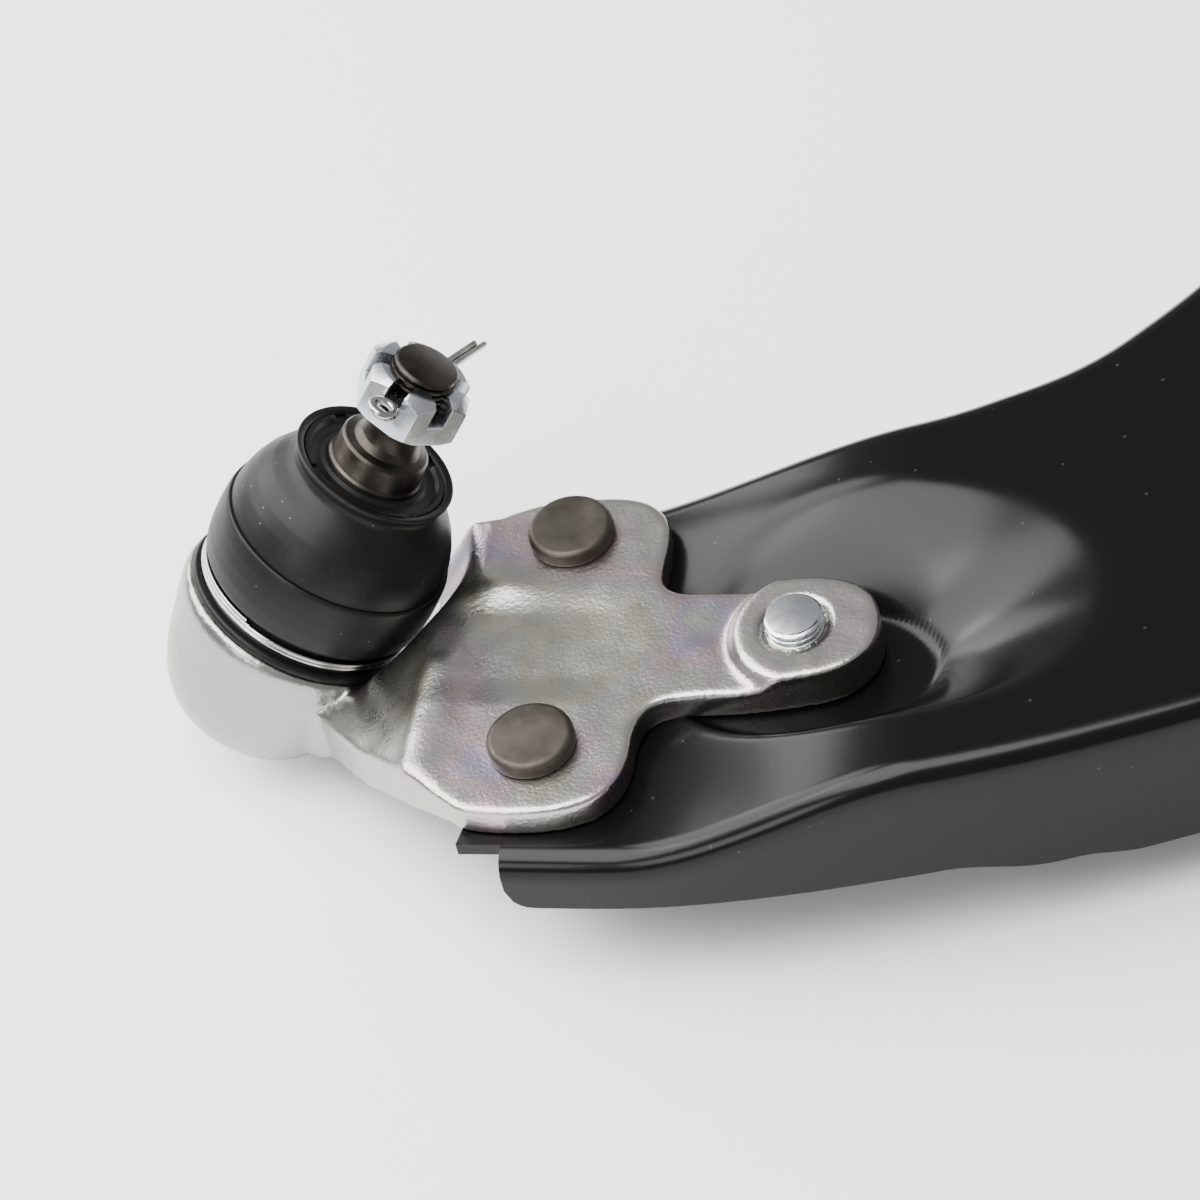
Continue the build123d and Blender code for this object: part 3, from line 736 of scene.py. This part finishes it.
bmesh.ops.transform(hole, matrix=PIN_PLACE, verts=hole.verts)
bmesh.ops.recalc_face_normals(stud_bm, faces=stud_bm.faces)
stud_bm = applied(stud_bm, [], [(hole, "DIFFERENCE")])
piece("stud_threaded", stud_bm, STUD, STUD_STEEL, "stud", ["ball_stud"], angle=32)

# %% [markdown]
# ## The cotter pin
# The pin is half-round wire folded double, with an open eye at the fold. One curve with a round
# section could make it, but a circle spun into a ring for the eye and two slightly tapered rods of
# unequal length for the legs are simpler, and where they meet hardly shows at this size.

# %% Cotter pin
EYE_RADIUS, EYE_WIRE, EYE_HEIGHT = 2.5, 0.95, 13.7
LEG_LENGTH, LEG_TIP, LEG_ROOT, LEG_APART, LEG_MIDDLE = 37.0, 0.7, 0.85, 0.7, -7.2
pin_bm = bmesh.new()
bmesh.ops.create_circle(pin_bm, segments=14, radius=EYE_WIRE)
bmesh.ops.rotate(pin_bm, verts=pin_bm.verts, cent=(0, 0, 0), matrix=Matrix.Rotation(math.radians(90), 3, "Y"))
bmesh.ops.translate(pin_bm, verts=pin_bm.verts, vec=(0, 0, EYE_RADIUS))
bmesh.ops.rotate(pin_bm, verts=pin_bm.verts, cent=(0, 0, EYE_RADIUS),
                 matrix=Matrix.Rotation(math.radians(90), 3, "Z"))
bmesh.ops.spin(pin_bm, geom=list(pin_bm.verts) + list(pin_bm.edges), cent=(0, 0, 0), axis=(1, 0, 0),
               angle=2 * math.pi, steps=40, use_merge=True)
bmesh.ops.translate(pin_bm, verts=pin_bm.verts, vec=(0, 0, EYE_HEIGHT))
for side in (-1, 1):
    leg = bmesh.ops.create_cone(pin_bm, cap_ends=True, segments=14, radius1=LEG_TIP, radius2=LEG_ROOT,
                                depth=LEG_LENGTH + side)
    bmesh.ops.translate(pin_bm, verts=leg["verts"], vec=(0, LEG_APART * side, LEG_MIDDLE - side / 2))
piece("cotter_pin_wire", pin_bm, STUD @ PIN_PLACE, WIRE, "stud", ["cotter_pin"], angle=50)

# %% [markdown]
# ## The bracket's bolt
# A flanged hexagon bolt comes up from below, so what shows from above is its threaded end. The
# shank is turned and threaded like the stud, and the head is a six-sided cone with its edges
# bevelled on a turned flange.

# %% Flanged bolt
BOLT_THREAD = 6.0
bolt_outline = ([(0, -4.0), (5.9, -4.0)] + rows_between(BOLT_THREAD, -3.5, 12.3) + [(5.4, 12.8), (0, 12.8)])
bolt_bm = threaded(spun(bolt_outline, 96, 0.02, 1), BOLT_THREAD, -3.5, 13.0)
head = bmesh.new()
bmesh.ops.create_cone(head, cap_ends=True, segments=6, radius1=9.9, radius2=10.39, depth=6.0)
bmesh.ops.translate(head, verts=head.verts, vec=(0, 0, -7.0))
bmesh.ops.bevel(head, geom=list(head.edges), offset=0.5, segments=3, profile=0.5, affect="EDGES", material=-1)
flange = spun([(0, -5.6), (9.6, -5.6), (11.6, -4.2), (11.6, -3.0), (0, -3.0)], 64, 0.4)
for part in (head, flange):
    mesh = bpy.data.meshes.new("part")
    part.to_mesh(mesh)
    bolt_bm.from_mesh(mesh)
    part.free()
    bpy.data.meshes.remove(mesh)
bolt_place = BRACKET @ Matrix.Translation((BOLT_ALONG, 0, 0))
piece("bracket_bolt_threaded", bolt_bm, bolt_place, ZINC, "arm", ["bracket_bolt"], angle=32)

# %% [markdown]
# ## Rivets
# Each rivet's head was closed cold, so it is nearly flat with a soft rim and not quite round. One
# turned outline makes both, and a little noise with a different seed moves each one's upper head.

# %% Rivets
HEAD_FROM, OUT_OF_ROUND, UNEVEN = 7.2, 0.010, 0.05


def rivet(name, node, across, seed):
    """One closed rivet at its place across the bracket; the seed makes its head its own."""
    outline = [(0, -6.0), (6.8, -6.0), (8.2, -4.2), (8.2, -3.0), (5.0, -3.0), (5.0, 7.0), (9.0, 7.0),
               (9.05, 8.6), (8.95, 10.0), (8.1, 10.75), (5.0, 10.85), (0, 10.85)]
    bm = spun(outline, 96, 0.7, 4)
    for v in bm.verts:
        if v.co.z > HEAD_FROM:
            wobble = noise.noise(Vector((v.co.x * 0.16, v.co.y * 0.16, seed)))
            v.co.x *= 1 + OUT_OF_ROUND * wobble
            v.co.y *= 1 + OUT_OF_ROUND * wobble
            dent = noise.noise(Vector((v.co.x * 0.3, v.co.y * 0.3, seed + 5)))
            v.co.z += UNEVEN * dent * smooth((v.co.z - 8) / 2)
    piece(name, bm, BRACKET @ Matrix.Translation((RIVET_ALONG, across, 0)), RIVET, "arm", [node], angle=40)


rivet("rivet_front_closed", "rivet_front", -RIVET_ACROSS, 1.0)
rivet("rivet_rear_closed", "rivet_rear", RIVET_ACROSS, 2.0)

# %% [markdown]
# ## Edges of the machined and sawn parts
# The nut, tubes, cans, sleeves, front rubber, lower plate and housing cap keep their solids' shape
# and only need their edges broken, each by a width in millimetres.

# %% Break the edges
broken_edges("castle_nut", ZINC, "stud", 0.28, "castle_nut_broken")
broken_edges("front_bush_tube", PAINT, "arm", 0.6)
broken_edges("rear_bush_tube", PAINT, "arm", 0.6)
broken_edges("front_bush_can", BUSH_STEEL, "arm", 0.3)
broken_edges("rear_bush_can", BUSH_STEEL, "arm", 0.3)
broken_edges("front_bush_sleeve", BUSH_STEEL, "front_sleeve", 0.5)
broken_edges("rear_bush_sleeve", BUSH_STEEL, "rear_sleeve", 0.5)
broken_edges("front_bush_rubber", BUSH_RUBBER, "arm", 0.5)
broken_edges("arm_lower_plate", PAINT, "arm", 0.4)
broken_edges("housing_cap", FORGING, "arm", 0.3)

# %% [markdown]
# ## The rear bush's rubber
# This rubber is bonded to its can outside and to its sleeve inside, and gives between them. It is
# made in two halves, and the kidney-shaped voids that soften it are cut right through.

# %% Rear rubber in two halves
VOID_INNER, VOID_OUTER, VOID_SWEEP, VOID_REACH = 19.6, 24.6, 52, 40


def rubber_half(side):
    """The half of the rubber on one side of the bush: -1 is outboard and 1 is inboard."""
    outline = [(13.05, -25.0), (17.0, -25.0), (21.0, -17.0), (24.5, -16.0), (28.15, -21.0),
               (28.15, 21.0), (24.5, 16.0), (21.0, 17.0), (17.0, 25.0), (13.05, 25.0)]
    bm = spun(outline, 96, 1.6, 4)
    void = bmesh.new()
    section = ((VOID_INNER, -VOID_REACH), (VOID_OUTER, -VOID_REACH),
               (VOID_OUTER, VOID_REACH), (VOID_INNER, VOID_REACH))
    corners = [void.verts.new((radius, 0, height)) for radius, height in section]
    loop = [void.edges.new((corners[k], corners[(k + 1) % 4])) for k in range(4)]
    bmesh.ops.spin(void, geom=corners + loop, cent=(0, 0, 0), axis=(0, 0, 1),
                   angle=math.radians(VOID_SWEEP), steps=14)
    bmesh.ops.holes_fill(void, edges=[e for e in void.edges if e.is_boundary], sides=8)
    turn = math.radians(-VOID_SWEEP / 2 + (0 if side > 0 else 180))
    bmesh.ops.rotate(void, verts=void.verts, cent=(0, 0, 0), matrix=Matrix.Rotation(turn, 3, "Z"))
    bmesh.ops.recalc_face_normals(void, faces=void.faces)
    bmesh.ops.recalc_face_normals(bm, faces=bm.faces)
    bm = applied(bm, [], [(void, "DIFFERENCE")])
    bmesh.ops.bisect_plane(bm, geom=list(bm.verts) + list(bm.edges) + list(bm.faces), dist=1e-4,
                           plane_co=(0, 0, 0), plane_no=(side, 0, 0), clear_inner=True)
    bmesh.ops.holes_fill(bm, edges=[e for e in bm.edges if e.is_boundary], sides=400)
    return bm


for side, name in ((-1, "rear_rubber_outboard"), (1, "rear_rubber_inboard")):
    half = piece(name, rubber_half(side), REAR_BUSH, BUSH_RUBBER, "arm", ["rear_bush_rubber"],
                 angle=40, rides=False)
    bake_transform(half)


# %% [markdown]
# ## Camera
# A long lens from above and in front of the ball joint, as on a studio table. A camera looks down
# its own -Z with +Y up, so its matrix is built from the three directions that it should have.

# %% Camera
EYE = Vector((-0.2840, -0.6839, 0.7353))
RIGHT = Vector((0.9609, -0.2052, -0.1863))
UP = Vector((0.2769, 0.6817, 0.6772))
FORWARD = Vector((0.0120, 0.7023, -0.7118))
camera_data = bpy.data.cameras.new("camera")
camera_data.lens = 150.0
camera_data.sensor_width = 36.0
camera_data.clip_end = 20.0
camera = bpy.data.objects.new("camera", camera_data)
camera.matrix_world = Matrix((
    (RIGHT.x, UP.x, -FORWARD.x, EYE.x), (RIGHT.y, UP.y, -FORWARD.y, EYE.y),
    (RIGHT.z, UP.z, -FORWARD.z, EYE.z), (0, 0, 0, 1)))
bpy.context.scene.collection.objects.link(camera)
bpy.context.scene.camera = camera
print("camera", round(EYE.length, 2), "m from the front bush, lens", camera_data.lens, "mm")


# %% [markdown]
# ## Floor
# A plain pale floor lies just under the lowest solid, and a pale even surround lights it.

# %% Floor and surround
FLOOR_HALF, FLOOR_GAP = 6.0, 0.0005
floor_bm = bmesh.new()
bmesh.ops.create_grid(floor_bm, x_segments=2, y_segments=2, size=FLOOR_HALF)
bmesh.ops.translate(floor_bm, verts=floor_bm.verts, vec=(0, 0, cad_box[0][2] - FLOOR_GAP))
floor_mesh = bpy.data.meshes.new("floor")
floor_bm.to_mesh(floor_mesh)
floor_bm.free()
floor_material, _, floor_shader, _ = new_material("pale_floor")
floor_shader.inputs["Base Color"].default_value = linear("FCFCFC")
floor_shader.inputs["Roughness"].default_value = 0.9
floor_mesh.materials.append(floor_material)
floor = bpy.data.objects.new("floor", floor_mesh)
bpy.context.scene.collection.objects.link(floor)
world = bpy.data.worlds.new("surround")
world.use_nodes = True
surround = world.node_tree.nodes["Background"]
surround.inputs["Color"].default_value = linear("FFFFFF")
surround.inputs["Strength"].default_value = 0.5
bpy.context.scene.world = world
print("floor at", round(cad_box[0][2] - FLOOR_GAP, 5), "m")

# %% [markdown]
# ## Light
# Black gloss shows what it mirrors, so the three strong soft boxes hang about where the slopes of
# the dish mirror them towards the camera, and a weak one at the front left fills in. They are
# square and not very large: wide, weaker ones would also light the flanges, which stay dark.

# %% Soft boxes
SOFT_BOXES = {  # place and target in metres, side in metres, power in watts
    "box_overhead": ((-0.63, -0.15, 1.35), (-0.2, 0.08, 0.0), 1.2, 42.0),
    "box_left": ((-1.15, 0.70, 1.03), (-0.2, 0.08, 0.0), 1.1, 34.0),
    "box_back_left": ((-1.13, 1.75, 0.72), (-0.2, 0.08, 0.0), 0.9, 16.0),
    "box_front_left": ((-1.3, -0.9, 0.7), (-0.3, 0.05, 0.0), 0.5, 6.0)}
for name, (place, target, side, power) in SOFT_BOXES.items():
    data = bpy.data.lights.new(name, "AREA")
    data.shape = "RECTANGLE"
    data.size, data.size_y = side, side
    data.energy = power
    box = bpy.data.objects.new(name, data)
    box.matrix_world = Matrix.Translation(place) @ (
        Vector(target) - Vector(place)).to_track_quat("-Z", "Y").to_matrix().to_4x4()
    bpy.context.scene.collection.objects.link(box)
    print(name, round((Vector(target) - Vector(place)).length, 2), "m away,", power, "W")
